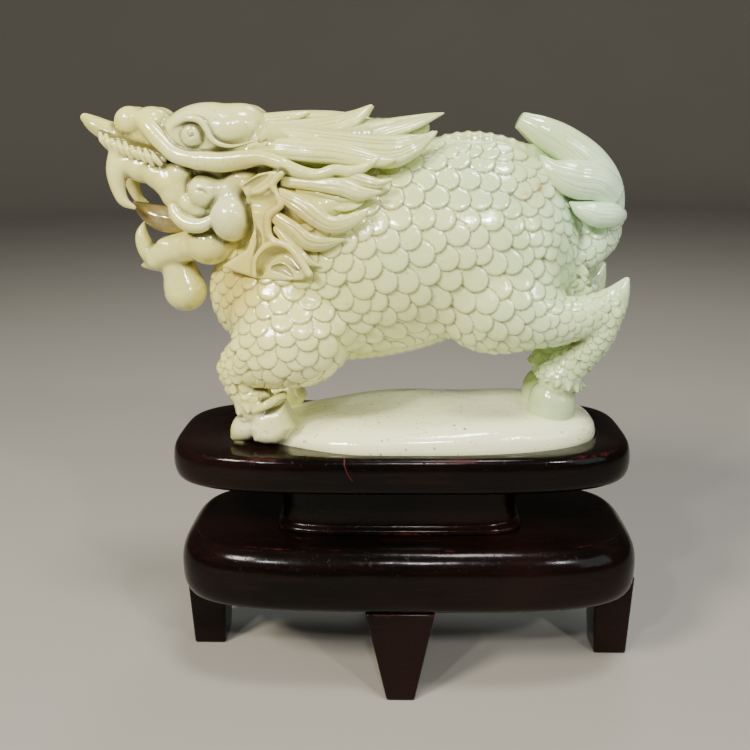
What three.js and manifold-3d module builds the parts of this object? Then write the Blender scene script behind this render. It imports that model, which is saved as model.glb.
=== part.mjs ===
// A jade guardian beast striding on a smooth mound, seated in a lacquered wood stand.
// Millimetres, +Z up. The beast looks along -X, and its left flank faces -Y.
// The model is drawn about the middle of the stand's lower slab, at floor level, and the
// whole group is shifted at the end so that its origin is under the middle of its box.
import * as THREE from "three";
import { mergeVertices } from "three/addons/utils/BufferGeometryUtils.js";
import Module from "manifold-3d";

// ---- driving dimensions ---------------------------------------------------------------
const GAP = 0.3; // clearance between pieces that touch

const LEG = {
  height: 42.7,
  topHalfWidth: 14.8,
  footHalfWidth: 6.1,
  topThickness: 18,
  footThickness: 15,
  sideTopHalfWidth: 12.5, // the two side legs taper less
  sideFootHalfWidth: 7.5,
  leftShift: 9, // the left leg stands further back than the right one
  rightShift: 3,
  sideReach: 102.5, // outer face of the side legs, from the middle
  frontReach: 39.7, // outer face of the front and back legs
  frontShift: -3,
};
const SLAB = { bottom: 42.7, top: 69.7, halfLength: 100, halfDepth: 41.8, power: 3.8 };
const WAIST = { top: 96, halfLength: 52.5, halfDepth: 21.5, power: 5, shift: -3.5, throat: 1.2 };
const TRAY = { top: 111.8, halfLength: 97.4, halfDepth: 40.7, power: 3.7, shift: -2.9 };
const RECESS = { depth: 3, clearance: 0.6 };
const MOUND = { shift: 2.7, halfLength: 78.6, halfDepth: 33.5, power: 2.6, height: 9.2 };
const MOUND_TAPER = { amount: 0.34, from: 20, to: 75 }; // how the mound narrows toward the head end

const DOWEL = { radius: 3, length: 22, inSlab: 10, spacing: 12 };
const SCREW = { radius: 1.9, headRadius: 4, headHeight: 2.6, tip: 3, sink: 0.5 };
const SLAB_SCREW = { length: 42, offset: 32 };
const TRAY_SCREW = { length: 24, offset: 20 };

const RING_SEGMENTS = 48; // points round each board
const HOLE_SEGMENTS = 12;
const LIMB_SEGMENTS = 10; // points round a limb of the carving

// ---- solids ---------------------------------------------------------------------------
const wasm = await Module();
wasm.setup();

function solid(geometry) {
  const bare = geometry.clone();
  bare.deleteAttribute("normal");
  bare.deleteAttribute("uv");
  const merged = mergeVertices(bare, 1e-4);
  return new wasm.Manifold(
    new wasm.Mesh({
      numProp: 3,
      vertProperties: new Float32Array(merged.attributes.position.array),
      triVerts: new Uint32Array(merged.index.array),
    }),
  );
}

function geometryOf(body) {
  const mesh = body.getMesh();
  const geometry = new THREE.BufferGeometry();
  geometry.setAttribute("position", new THREE.BufferAttribute(mesh.vertProperties, 3));
  geometry.setIndex(new THREE.BufferAttribute(mesh.triVerts, 1));
  geometry.computeVertexNormals();
  return geometry;
}

const join = (bodies) => bodies.reduce((sum, body) => sum.add(body));

// A closed skin over rings of equal length, listed so that each ring runs anticlockwise
// about the way from the first ring to the last. Each end is closed by a fan.
function skin(rings) {
  const count = rings[0].length;
  const points = rings.flat();
  const centre = (ring) =>
    ring.reduce((sum, p) => sum.add(p), new THREE.Vector3()).divideScalar(count);
  points.push(centre(rings[0]), centre(rings[rings.length - 1]));
  const firstCentre = points.length - 2;
  const lastCentre = points.length - 1;
  const lastRing = (rings.length - 1) * count;
  const faces = [];
  for (let i = 0; i < count; i++) {
    const next = (i + 1) % count;
    for (let r = 0; r < lastRing; r += count) {
      faces.push(r + i, r + next, r + count + next, r + i, r + count + next, r + count + i);
    }
    faces.push(firstCentre, next, i, lastCentre, lastRing + i, lastRing + next);
  }
  const geometry = new THREE.BufferGeometry().setFromPoints(points);
  geometry.setIndex(faces);
  return geometry;
}

// One level of a rounded-rectangle board: a superellipse ring at height z.
function boardRing(board, z, inset) {
  const ring = [];
  for (let i = 0; i < RING_SEGMENTS; i++) {
    const angle = (2 * Math.PI * i) / RING_SEGMENTS;
    const c = Math.cos(angle);
    const s = Math.sin(angle);
    const x = Math.sign(c) * Math.abs(c) ** (2 / board.power) * (board.halfLength - inset);
    const taper = board === MOUND ? MOUND_TAPER.amount : 0;
    const narrow = 1 - taper * THREE.MathUtils.smoothstep(-x, MOUND_TAPER.from, MOUND_TAPER.to);
    const y = Math.sign(s) * Math.abs(s) ** (2 / board.power) * (board.halfDepth - inset) * narrow;
    ring.push(new THREE.Vector3(x + (board.shift ?? 0), y, z));
  }
  return ring;
}

const board = (shape, levels) => skin(levels.map(([z, inset]) => boardRing(shape, z, inset)));

function cylinder(radius, bottom, top, x, y) {
  const geometry = new THREE.CylinderGeometry(radius, radius, top - bottom, HOLE_SEGMENTS);
  geometry.rotateX(Math.PI / 2);
  geometry.translate(x, y, (bottom + top) / 2);
  return geometry;
}

// ---- stand ----------------------------------------------------------------------------
const WOOD = { color: 0x1b0a08, roughness: 0.22, metalness: 0 };
const BARE_WOOD = { color: 0xb48a58, roughness: 0.7, metalness: 0 };
const STEEL = { color: 0x9a9ca0, roughness: 0.35, metalness: 1 };
const JADE = { color: 0xd9dec4, roughness: 0.16, metalness: 0 };

// Where each leg stands and which way its broad face looks.
const LEGS = [
  { side: "front", x: LEG.frontShift, y: -LEG.frontReach, turn: 0 },
  { side: "right", x: LEG.sideReach, y: LEG.rightShift, turn: Math.PI / 2 },
  { side: "back", x: LEG.frontShift, y: LEG.frontReach, turn: Math.PI },
  { side: "left", x: -LEG.sideReach, y: LEG.leftShift, turn: -Math.PI / 2 },
];

// Turns a point of a leg drawn at the origin, with its broad face on -Y, to its place.
function placeOnLeg(leg, x, y) {
  const spot = new THREE.Vector2(x, y).rotateAround(new THREE.Vector2(), leg.turn);
  return [spot.x + leg.x, spot.y + leg.y];
}

const dowelSpots = (leg) =>
  [-1, 1].map((end) => placeOnLeg(leg, (end * DOWEL.spacing) / 2, LEG.topThickness / 2 + 1));

const DOWEL_BOTTOM = SLAB.bottom + DOWEL.inSlab - DOWEL.length;
const DOWEL_TOP = SLAB.bottom + DOWEL.inSlab;

function dowelHole([x, y]) {
  return solid(cylinder(DOWEL.radius + GAP, DOWEL_BOTTOM - GAP, DOWEL_TOP + GAP, x, y));
}

function legGeometry(leg) {
  const ring = (z, halfWidth, thickness) => [
    new THREE.Vector3(-halfWidth, 0, z),
    new THREE.Vector3(halfWidth, 0, z),
    new THREE.Vector3(halfWidth, thickness, z),
    new THREE.Vector3(-halfWidth, thickness, z),
  ];
  const atEnd = leg.side === "left" || leg.side === "right";
  const geometry = skin([
    ring(0, atEnd ? LEG.sideFootHalfWidth : LEG.footHalfWidth, LEG.footThickness),
    ring(LEG.height - GAP, atEnd ? LEG.sideTopHalfWidth : LEG.topHalfWidth, LEG.topThickness),
  ]);
  geometry.rotateZ(leg.turn);
  geometry.translate(leg.x, leg.y, 0);
  return geometryOf(dowelSpots(leg).reduce((b, s) => b.subtract(dowelHole(s)), solid(geometry)));
}

const dowelGeometry = ([x, y]) => cylinder(DOWEL.radius, DOWEL_BOTTOM, DOWEL_TOP, x, y);

// A countersunk screw whose head is flat at z = 0 and whose tip points along +Z. Its hole
// is the same shape with some slack, and runs out past the head through the face it sinks in.
function screwProfile(length, slack) {
  const shank = SCREW.radius + slack;
  const head = SCREW.headRadius + slack;
  const mouth = slack > 0 ? -2 * SCREW.sink : 0;
  return [
    new THREE.Vector2(0, mouth),
    new THREE.Vector2(head, mouth),
    new THREE.Vector2(head, 0),
    new THREE.Vector2(shank, SCREW.headHeight),
    new THREE.Vector2(shank, length - SCREW.tip),
    new THREE.Vector2(0, length + slack),
  ];
}

function screw(length, x, z, pointsUp, slack = 0) {
  const geometry = new THREE.LatheGeometry(screwProfile(length, slack), HOLE_SEGMENTS);
  geometry.rotateX(pointsUp ? Math.PI / 2 : -Math.PI / 2);
  geometry.translate(x, 0, z);
  return geometry;
}

const SLAB_SCREW_SEAT = SLAB.bottom + SCREW.sink;
const TRAY_SCREW_SEAT = TRAY.top - RECESS.depth - SCREW.sink;
const screwXs = (offset) => [WAIST.shift - offset, WAIST.shift + offset];

const cutScrews = (body, kind, seat, up) =>
  screwXs(kind.offset).reduce(
    (left, x) => left.subtract(solid(screw(kind.length, x, seat, up, GAP))),
    body,
  );

function slabGeometry() {
  const levels = [
    [SLAB.bottom, 3.2],
    [SLAB.bottom + 3, 0.9],
    [SLAB.bottom + 8, 0],
    [SLAB.top - 13, 0],
    [SLAB.top - 7, 1],
    [SLAB.top - 2.6, 3.4],
    [SLAB.top, 6.6],
  ];
  const drilled = LEGS.flatMap(dowelSpots).reduce(
    (body, spot) => body.subtract(dowelHole(spot)),
    solid(board(SLAB, levels)),
  );
  return geometryOf(cutScrews(drilled, SLAB_SCREW, SLAB_SCREW_SEAT, true));
}

function waistGeometry() {
  const bottom = SLAB.top + GAP;
  const top = WAIST.top - GAP;
  const levels = [
    [bottom, 0],
    [bottom + 3, WAIST.throat],
    [(bottom + top) / 2, WAIST.throat],
    [top, -WAIST.throat],
  ];
  const drilled = cutScrews(solid(board(WAIST, levels)), SLAB_SCREW, SLAB_SCREW_SEAT, true);
  return geometryOf(cutScrews(drilled, TRAY_SCREW, TRAY_SCREW_SEAT, false));
}

function trayGeometry() {
  const levels = [
    [WAIST.top, 3],
    [WAIST.top + 3, 0.6],
    [WAIST.top + 7, 0],
    [TRAY.top - 4, 0.3],
    [TRAY.top - 1, 1.3],
    [TRAY.top, 2.4],
  ];
  const recess = board(MOUND, [
    [TRAY.top - RECESS.depth, -RECESS.clearance],
    [TRAY.top + 1, -RECESS.clearance],
  ]);
  const hollowed = solid(board(TRAY, levels)).subtract(solid(recess));
  return geometryOf(cutScrews(hollowed, TRAY_SCREW, TRAY_SCREW_SEAT, false));
}

// ---- carving --------------------------------------------------------------------------
// A limb of oval sections along a path of [x, y, z, halfWidth, halfHeight] stations.
// Width lies across the path and level, and height lies square to both.
function limb(stations, segments = LIMB_SEGMENTS) {
  const spots = stations.map(([x, y, z]) => new THREE.Vector3(x, y, z));
  const across = new THREE.Vector3(0, 1, 0);
  const rings = stations.map(([, , , halfWidth, halfHeight], i) => {
    const before = spots[Math.max(i - 1, 0)];
    const after = spots[Math.min(i + 1, spots.length - 1)];
    const along = after.clone().sub(before).normalize();
    const side = across.clone().addScaledVector(along, -across.dot(along)).normalize();
    const up = along.clone().cross(side);
    return Array.from({ length: segments }, (_, k) => {
      const angle = (2 * Math.PI * k) / segments;
      return spots[i]
        .clone()
        .addScaledVector(side, Math.cos(angle) * halfWidth)
        .addScaledVector(up, Math.sin(angle) * halfHeight);
    });
  });
  return solid(skin(rings));
}

function ball(x, y, z, rx, ry, rz) {
  const geometry = new THREE.SphereGeometry(1, 12, 8);
  geometry.rotateX(Math.PI / 2);
  geometry.scale(rx, ry, rz);
  geometry.translate(x, y, z);
  return solid(geometry);
}

// The same limb on the near flank (-Y) and on the far flank (+Y).
const pair = (stations) =>
  [-1, 1].map((flank) => limb(stations.map(([x, y, z, w, h]) => [x, flank * y, z, w, h])));
const ballPair = (x, y, z, ...radii) => [-1, 1].map((flank) => ball(x, flank * y, z, ...radii));

// The mound is a low dome whose height swells towards the tail.
function mound() {
  const foot = TRAY.top - RECESS.depth + GAP;
  const edge = TRAY.top + 1;
  const levels = [
    [foot, 1, 0],
    [edge, 1, 0],
    [edge, 0.985, 0.35],
    [edge, 0.95, 0.58],
    [edge, 0.88, 0.78],
    [edge, 0.72, 0.95],
    [edge, 0.4, 1],
  ];
  const rings = levels.map(([z, scale, rise]) =>
    boardRing(MOUND, z, 0).map((p) => {
      const x = MOUND.shift + (p.x - MOUND.shift) * scale;
      const swell = THREE.MathUtils.smoothstep(x, -75, 15) * 0.62 + 0.38;
      return new THREE.Vector3(x, p.y * scale, z + rise * swell * MOUND.height);
    }),
  );
  return solid(skin(rings));
}

function torso() {
  return limb(
    [
      [-82.5, 0, 170, 5, 6],
      [-78, 0, 170, 15, 17],
      [-65, 0, 172, 23, 28],
      [-45, 0, 177, 27, 35],
      [-20, 0, 185, 29, 41.5],
      [0, 0, 190, 29, 42],
      [22, 0, 196, 28, 38],
      [42, 0, 191, 28, 38.5],
      [55, 0, 189, 24, 33],
      [65, 0, 187, 17, 24],
      [71, 0, 186, 7, 10],
    ],
    16,
  );
}

const frontLegs = () => [
  ...pair([
    [-18, 19, 157, 6, 6],
    [-24, 21, 156, 12, 14],
    [-37, 22, 156, 14, 19],
    [-53, 22, 152, 12, 15.5],
    [-68, 22, 147, 9, 9],
    [-76, 22, 145.5, 4, 4.5],
  ]),
  ...pair([
    [-75, 22, 148.5, 5, 4],
    [-71.5, 21.5, 142.5, 6.5, 6.5],
    [-66.5, 20.5, 133.5, 6.5, 6],
    [-61, 20, 128.5, 10, 10.5],
  ]),
  ...pair([
    [-60, 20, 130, 9, 9.5],
    [-57, 20, 121, 11, 11],
    [-56.5, 20, 112.5, 8, 8],
  ]),
];

const hindLegs = () => [
  ...pair([
    [17, 14, 174, 6, 9],
    [28, 16, 171, 14, 18],
    [45, 18, 169, 13, 18.5],
    [60, 19, 167, 10, 13],
    [75, 20, 169, 8, 8.5],
    [87, 20, 180.5, 1.2, 1.5],
  ]),
  ...pair([
    [83, 19.5, 171, 6, 5],
    [77.4, 18, 159.5, 7, 7.5],
    [67.5, 13.5, 144.5, 7, 7.5],
    [63.5, 10.5, 136, 9, 9.5],
  ]),
  ...pair([
    [62.6, 10, 134, 8.5, 8.5],
    [61.6, 9.7, 127, 9.5, 10],
    [61, 9.5, 117, 9, 9],
  ]),
];

const tail = () => [
  limb([
    [62, 0, 186, 6, 7],
    [72, 0, 186, 8, 8],
    [77, 0, 195, 10, 10],
    [78, 0, 208, 11, 11],
    [70, 0, 222, 11, 12],
    [60, 0, 231, 10, 9],
    [50, 0, 237.5, 6, 5.5],
    [45, 0, 241, 1.5, 2],
  ]),
  limb([
    [76, 0, 216, 10, 9],
    [65, 0, 217.5, 9, 8],
    [53, 0, 225, 1.5, 2],
  ]),
  limb([
    [80, 0, 202, 9, 8],
    [74, 0, 203, 8, 7],
    [66, 0, 208.5, 1.5, 2],
  ]),
];

const head = () => [
  limb([
    [-50, 0, 222, 16, 18],
    [-62, 0, 226, 20, 21],
    [-76, 0, 229, 20, 19],
    [-88, 0, 230, 16, 16],
    [-94, 0, 230, 13, 12],
  ]),
  limb([
    [-80, 0, 222, 16, 14],
    [-96, 0, 228, 14, 12],
    [-110, 0, 233, 12, 9],
    [-118, 0, 236, 9, 6],
    [-127, 0, 241, 5, 4],
    [-130.5, 0, 244.5, 1.5, 1.5],
  ]),
  ball(-105, 0, 240, 8.5, 12, 7.4),
  ...ballPair(-67, 15, 204, 8.5, 8, 8.5),
  ...ballPair(-80, 13, 212, 10, 8, 9),
  ...pair([
    [-112, 6, 233, 4, 4],
    [-116.5, 8, 226, 3, 3.6],
    [-117.5, 9, 217, 2.6, 3.4],
    [-114.5, 9, 210, 2, 2.4],
    [-111, 9, 206.5, 1, 1],
  ]),
  limb([
    [-70, 0, 204, 8, 5],
    [-92, 0, 203, 7, 5],
    [-104, 0, 204, 5, 4],
    [-112, 0, 207.5, 1.5, 1.2],
  ]),
  limb([
    [-62, 0, 200, 16, 14],
    [-78, 0, 194, 14, 9.5],
    [-94, 0, 192, 10, 7],
    [-105, 0, 189, 7, 6.5],
    [-111, 0, 184.5, 2, 2],
  ]),
  ...pair([
    [-106, 7, 190, 2.4, 3],
    [-109, 8, 197, 1.8, 2.2],
    [-107.5, 8, 203, 0.8, 0.8],
  ]),
  limb([
    [-92, 0, 192, 6, 7],
    [-93, 0, 180, 8, 8.5],
    [-93.5, 0, 172, 8.6, 8.8],
    [-94, 0, 165, 4, 4],
  ]),
];

// The mane sweeps back in four tiers, the lowest with the ear fins.
const mane = () => [
  limb([
    [-62, 0, 236, 14, 9],
    [-42, 0, 237, 18, 8],
    [-14, 0, 239, 19, 7],
    [4, 0, 240, 16, 4],
    [17.5, 0, 242, 10, 1.5],
  ]),
  ...pair([
    [-62, 10, 226, 8, 9],
    [-42, 18, 225, 8, 12],
    [-18, 25, 225, 6, 13],
    [2, 26, 230, 4, 8],
    [13, 26, 235, 1.5, 2],
  ]),
  ...pair([
    [-62, 14, 214, 6, 11],
    [-42, 21, 209, 7, 16],
    [-24, 26, 206, 5, 11],
    [-8, 27, 214, 2, 4],
  ]),
  ...pair([
    [-66, 13, 203, 6, 8],
    [-52, 20, 195, 6, 14],
    [-42, 23, 188, 4, 9],
    [-35, 23, 183, 1.5, 2],
  ]),
];

const carvingGeometry = () =>
  geometryOf(
    join([
      mound(),
      torso(),
      ...frontLegs(),
      ...hindLegs(),
      ...tail(),
      ...head(),
      ...mane(),
    ]),
  );

// ---- assembly -------------------------------------------------------------------------
const assembly = new THREE.Group();

function addPiece(name, geometry, look) {
  const mesh = new THREE.Mesh(geometry, new THREE.MeshStandardMaterial(look));
  mesh.name = name;
  assembly.add(mesh);
}

addPiece("jade_carving", carvingGeometry(), JADE);
addPiece("tray", trayGeometry(), WOOD);
addPiece("waist_block", waistGeometry(), WOOD);
addPiece("lower_slab", slabGeometry(), WOOD);
for (const leg of LEGS) {
  addPiece(`leg_${leg.side}`, legGeometry(leg), WOOD);
  dowelSpots(leg).forEach((spot, i) => {
    addPiece(`leg_${leg.side}_dowel_${i + 1}`, dowelGeometry(spot), BARE_WOOD);
  });
}
["left", "right"].forEach((end, i) => {
  const slabScrew = screw(SLAB_SCREW.length, screwXs(SLAB_SCREW.offset)[i], SLAB_SCREW_SEAT, true);
  const trayScrew = screw(TRAY_SCREW.length, screwXs(TRAY_SCREW.offset)[i], TRAY_SCREW_SEAT, false);
  addPiece(`slab_screw_${end}`, slabScrew, STEEL);
  addPiece(`tray_screw_${end}`, trayScrew, STEEL);
});

const box = new THREE.Box3().setFromObject(assembly);
const middle = box.getCenter(new THREE.Vector3());
assembly.position.set(-middle.x, -middle.y, -box.min.z);

const figurine = new THREE.Group();
figurine.add(assembly);

export default figurine;
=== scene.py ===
"""A jade guardian beast on a lacquered wood stand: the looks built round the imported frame."""

import math

import bpy
import numpy as np
import openvdb
from mathutils import Matrix, Vector


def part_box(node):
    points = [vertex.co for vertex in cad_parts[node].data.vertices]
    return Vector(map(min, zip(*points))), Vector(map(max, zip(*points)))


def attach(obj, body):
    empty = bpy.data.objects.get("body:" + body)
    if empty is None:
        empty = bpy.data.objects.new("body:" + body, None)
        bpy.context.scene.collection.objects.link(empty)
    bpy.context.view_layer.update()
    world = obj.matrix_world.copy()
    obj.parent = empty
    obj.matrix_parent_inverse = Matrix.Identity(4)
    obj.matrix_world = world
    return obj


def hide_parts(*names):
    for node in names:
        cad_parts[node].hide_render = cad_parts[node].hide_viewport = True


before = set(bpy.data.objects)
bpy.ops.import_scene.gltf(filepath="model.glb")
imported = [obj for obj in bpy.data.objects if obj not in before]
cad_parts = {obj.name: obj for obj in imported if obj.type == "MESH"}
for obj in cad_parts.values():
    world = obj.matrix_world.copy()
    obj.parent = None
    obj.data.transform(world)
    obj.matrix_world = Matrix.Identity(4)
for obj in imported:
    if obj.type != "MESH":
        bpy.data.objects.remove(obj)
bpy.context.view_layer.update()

# ---- Places ----
# The shapes are drawn in millimetres about the middle of the lower slab, at floor level:
# +X towards the tail, -Y towards the camera, +Z up.
MM = 0.001


def middle(node):
    low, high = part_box(node)
    return (Vector(low) + Vector(high)) / 2


ORIGIN = np.array([middle("lower_slab").x, middle("lower_slab").y, 0.0])
TRAY_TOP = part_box("tray")[1][2] / MM
RNG = np.random.default_rng(8)


def to_metres(points):
    return np.asarray(points, float) * MM + ORIGIN


def new_object(name, points, faces, body, replaces):
    """A smooth mesh object from points in millimetres, riding on a body."""
    mesh = bpy.data.meshes.new(name)
    mesh.from_pydata(to_metres(points).tolist(), [], faces.tolist())
    mesh.update()
    mesh.shade_smooth()
    piece = bpy.data.objects.new(name, mesh)
    bpy.context.scene.collection.objects.link(piece)
    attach(piece, body)
    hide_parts(*replaces)
    return piece


# ---- Clay: a signed distance field over the near half, mirrored when it is meshed. ----
FAR = 60.0  # the distance held where there is no clay yet
MARGIN = 2.5  # how far round a shape the clay's distances are true
CAVITY_REACHES = (1.0, 2.0, 3.2)


def smooth_path(points, values, steps=6):
    """Points on a Catmull-Rom curve through the given ones, with their values."""
    knots = np.column_stack([np.asarray(points, float), np.asarray(values, float)])
    ends = np.vstack([2 * knots[0] - knots[1], knots, 2 * knots[-1] - knots[-2]])
    rows = []
    for p0, p1, p2, p3 in zip(ends, ends[1:], ends[2:], ends[3:]):
        for t in np.arange(steps) / steps:
            square = (2 * p0 - 5 * p1 + 4 * p2 - p3) * t**2
            cube = (3 * p1 - p0 - 3 * p2 + p3) * t**3
            rows.append(0.5 * (2 * p1 + (p2 - p0) * t + square + cube))
    rows.append(knots[-1])
    rows = np.array(rows)
    return rows[:, :3], rows[:, 3:]


class Clay:
    """Modelling clay. A half-grid ends half a voxel short of the middle plane y = 0."""

    def __init__(self, low, high, voxel):
        self.voxel = voxel
        xs = np.arange(low[0], high[0], voxel)
        ys = (np.arange(int(low[1] / voxel), 0) + 0.5) * voxel
        zs = np.arange(low[2], high[2], voxel)
        self.axes = [a.astype(np.float32) for a in (xs, ys, zs)]
        self.field = np.full([len(a) for a in self.axes], FAR, np.float32)
        self.scratch = self.field.copy()

    def window(self, low, high):
        """The part of the grid between two corners, and its coordinates."""
        spans = tuple(
            slice(np.searchsorted(axis, a), np.searchsorted(axis, b))
            for axis, a, b in zip(self.axes, low, high)
        )
        x, y, z = (axis[span] for axis, span in zip(self.axes, spans))
        return spans, x[:, None, None], y[None, :, None], z[None, None, :]

    def merge(self, spans, distance, blend, carve=False):
        """Adds a shape to the clay, or carves it away, with a soft join of the blend's width."""
        sign = -1.0 if carve else 1.0
        old = sign * self.field[spans]
        bite = np.maximum(blend - np.abs(old - distance), 0)
        self.field[spans] = sign * (np.minimum(old, distance) - bite**2 / (4 * blend))

    def ball(self, centre, radii, blend=1.0, carve=False):
        """An ellipsoid, or a sphere where one radius is given."""
        centre = np.asarray(centre, float)
        radii = np.broadcast_to(np.asarray(radii, float), 3)
        reach = radii + blend + MARGIN
        spans, x, y, z = self.window(centre - reach, centre + reach)
        x, y, z = x - centre[0], y - centre[1], z - centre[2]
        near = np.sqrt((x / radii[0]) ** 2 + (y / radii[1]) ** 2 + (z / radii[2]) ** 2)
        slope = np.sqrt((x / radii[0] ** 2) ** 2 + (y / radii[1] ** 2) ** 2 + (z / radii[2] ** 2) ** 2)
        self.merge(spans, near * (near - 1) / np.maximum(slope, 1e-6), blend, carve)

    def rod(self, points, radii, blend=1.0, carve=False, flat=1.0, steps=6):
        """A rod of changing radius along a smooth path, its width in Y scaled by flat."""
        path, thick = smooth_path(points, radii, steps)
        thick = np.maximum(thick[:, 0], 0.05)
        pad = thick.max() * max(flat, 1.0) + blend + MARGIN
        whole, *_ = self.window(path.min(0) - pad, path.max(0) + pad)
        self.scratch[whole] = FAR
        for a, b, ra, rb in zip(path, path[1:], thick, thick[1:]):
            pad = max(ra, rb) * max(flat, 1.0) + blend + MARGIN
            spans, x, y, z = self.window(np.minimum(a, b) - pad, np.maximum(a, b) + pad)
            step = (b - a) * [1, 1 / flat, 1]
            x, y, z = x - a[0], (y - a[1]) / flat, z - a[2]
            along = (x * step[0] + y * step[1] + z * step[2]) / max(step @ step, 1e-9)
            along = np.clip(along, 0, 1)
            gap = (x - along * step[0]) ** 2 + (y - along * step[1]) ** 2 + (z - along * step[2]) ** 2
            distance = np.sqrt(gap) - (ra + along * (rb - ra))
            self.scratch[spans] = np.minimum(self.scratch[spans], distance)
        self.merge(whole, self.scratch[whole], blend, carve)

    def plate(self, outline, near, thickness, blend=1.0, round_off=1.0):
        """A plate cut to an XZ outline, whose mid-plane lies at y = near(x, z)."""
        outline = np.asarray(outline, float)
        pad = blend + MARGIN + round_off
        low, high = outline.min(0), outline.max(0)
        corners = (low[0] - pad, self.axes[1][0], low[1] - pad), (high[0] + pad, 0.0, high[1] + pad)
        spans, x, y, z = self.window(*corners)
        flat = polygon_distance(x[:, 0, :], z[0, :, :], outline)[:, None, :] + round_off
        deep = np.abs(y - near(x, z)) - thickness / 2 + round_off
        outside = np.sqrt(np.maximum(flat, 0) ** 2 + np.maximum(deep, 0) ** 2)
        inside = np.minimum(np.maximum(flat, deep), 0)
        self.merge(spans, outside + inside - round_off, blend)

    def cavity(self, points, normals):
        """How enclosed each point is by the clay round it, from 0 to 1."""
        near, out = near_half(points, points), near_half(points, normals)
        total = np.zeros(len(points))
        for reach in CAVITY_REACHES:
            spots = near + out * reach
            spots[:, 1] = -np.abs(spots[:, 1])
            cells = [
                np.clip(np.rint((spots[:, k] - axis[0]) / self.voxel).astype(int), 0, len(axis) - 1)
                for k, axis in enumerate(self.axes)
            ]
            total += 1 - np.clip(self.field[cells[0], cells[1], cells[2]] / reach, 0, 1)
        return total / len(CAVITY_REACHES)

    def mesh(self):
        """Points in millimetres and quads of both halves."""
        whole = np.concatenate([self.field, self.field[:, ::-1, :]], axis=1)
        grid = openvdb.FloatGrid(FAR)
        grid.copyFromArray(np.ascontiguousarray(whole))
        points, quads = grid.convertToQuads(isovalue=0.0)
        low = [axis[0] for axis in self.axes]
        return points * self.voxel + low, quads


def near_half(points, vectors):
    """The vectors, mirrored where the points lie in the far half."""
    return vectors * np.where(points[:, 1:2] > 0, (1, -1, 1), (1, 1, 1))


def polygon_distance(x, z, outline):
    """Signed distance in the plane to a closed outline, negative inside it."""
    best = np.full(np.broadcast(x, z).shape, 1e9)
    inside = np.zeros(best.shape, bool)
    for (ax, az), (bx, bz) in zip(outline, np.roll(outline, -1, axis=0)):
        ex, ez = bx - ax, bz - az
        t = np.clip(((x - ax) * ex + (z - az) * ez) / (ex * ex + ez * ez), 0, 1)
        best = np.minimum(best, (x - ax - t * ex) ** 2 + (z - az - t * ez) ** 2)
        if bz != az:
            crosses = (az > z) != (bz > z)
            inside ^= crosses & (x < ax + (z - az) * ex / ez)
    return np.where(inside, -1, 1) * np.sqrt(best)


# ---- The beast's body: torso, legs and hooves, in clay ----
BODY_VOXEL = 0.45
TORSO = [  # x, z, half-height
    (-57, 172, 25), (-42, 177, 34), (-20, 185, 41.5), (0, 190, 42), (18, 195.5, 38), (31, 196.5, 36.5),
]
TORSO_FLAT = 0.69  # the torso's half-width over its half-height
CREST = [
    (-14, 0, 225), (4.6, 0, 227.7), (11.4, 0, 230.2), (19.5, 0, 232), (27.6, 0, 232.4), (36.6, 0, 231),
    (44.8, 0, 228.4), (51.3, 0, 224.6), (58, 0, 217), (63, 0, 208), (67, 0, 197),
]
CREST_PITCH = 4.4
BEAD_PITCH = 3.2


def sculpt_torso(clay):
    clay.rod([(x, 0, z) for x, z, _ in TORSO], [r for *_, r in TORSO], 2, flat=TORSO_FLAT)
    clay.rod([(-30, 0, 196), (-48, 0, 212), (-60, 0, 224)], [30, 24, 17], 6, flat=0.8)  # neck
    clay.ball((49, 0, 184), (21, 19, 24), 8)  # rump
    clay.rod([(-8, -19, 186), (20, -19, 189), (40, -17, 190)], [19, 20, 17], 8, flat=0.5)  # flank


def evenly(points, pitch):
    """Spots at one pitch along a smooth path."""
    path, _ = smooth_path(points, [0] * len(points), steps=24)
    run = np.concatenate([[0], np.cumsum(np.linalg.norm(np.diff(path, axis=0), axis=1))])
    return np.column_stack([np.interp(np.arange(0, run[-1], pitch), run, path[:, k]) for k in range(3)])


def sculpt_crest(clay):
    """Plates lapping along the spine, with a row of beads under them."""
    clay.rod(CREST, [3.3] * len(CREST), 1, flat=1.6)
    for x, y, z in evenly(CREST, CREST_PITCH):
        clay.ball((x, y, z), (2.7, 5.6, 3.8), 0.35)
    for x, y, z in evenly(CREST, BEAD_PITCH):
        clay.ball((x, -6.7, z - 4.6), (1.9, 1.7, 1.7), 0.5)


def sculpt_front_leg(clay):
    clay.ball((-46, -15, 164), (25, 14, 26), 5)  # shoulder
    clay.rod(
        [(-36, -19, 157), (-44, -21, 156), (-57, -21.5, 151), (-66.6, -21.5, 146.4), (-69.6, -21.5, 144.8)],
        [14, 18.5, 14, 8.8, 6.4], 4, flat=0.78,
    )
    shin = [(-69.6, -21.5, 144.8), (-68.6, -21, 138), (-66, -20.5, 132), (-63, -20, 127.5)]
    clay.rod(shin, [6.4, 5.8, 5.8, 6.6], 1.5)
    for x, z, radius in ((-72.2, 149, 3.0), (-74.2, 145.2, 2.7), (-73.6, 141, 2.4), (-72.4, 136.8, 2.2)):
        clay.ball((x, -21.5, z), (radius, radius * 1.5, radius), 0.8)  # knee knuckles


FRONT_HOOF = [  # x, z outline
    (-65.4, 120), (-63.4, 113.6), (-59, 112.3), (-54, 112.3), (-49.4, 114.6), (-45.8, 120), (-50.3, 129.6),
    (-62.6, 126.4),
]


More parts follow.
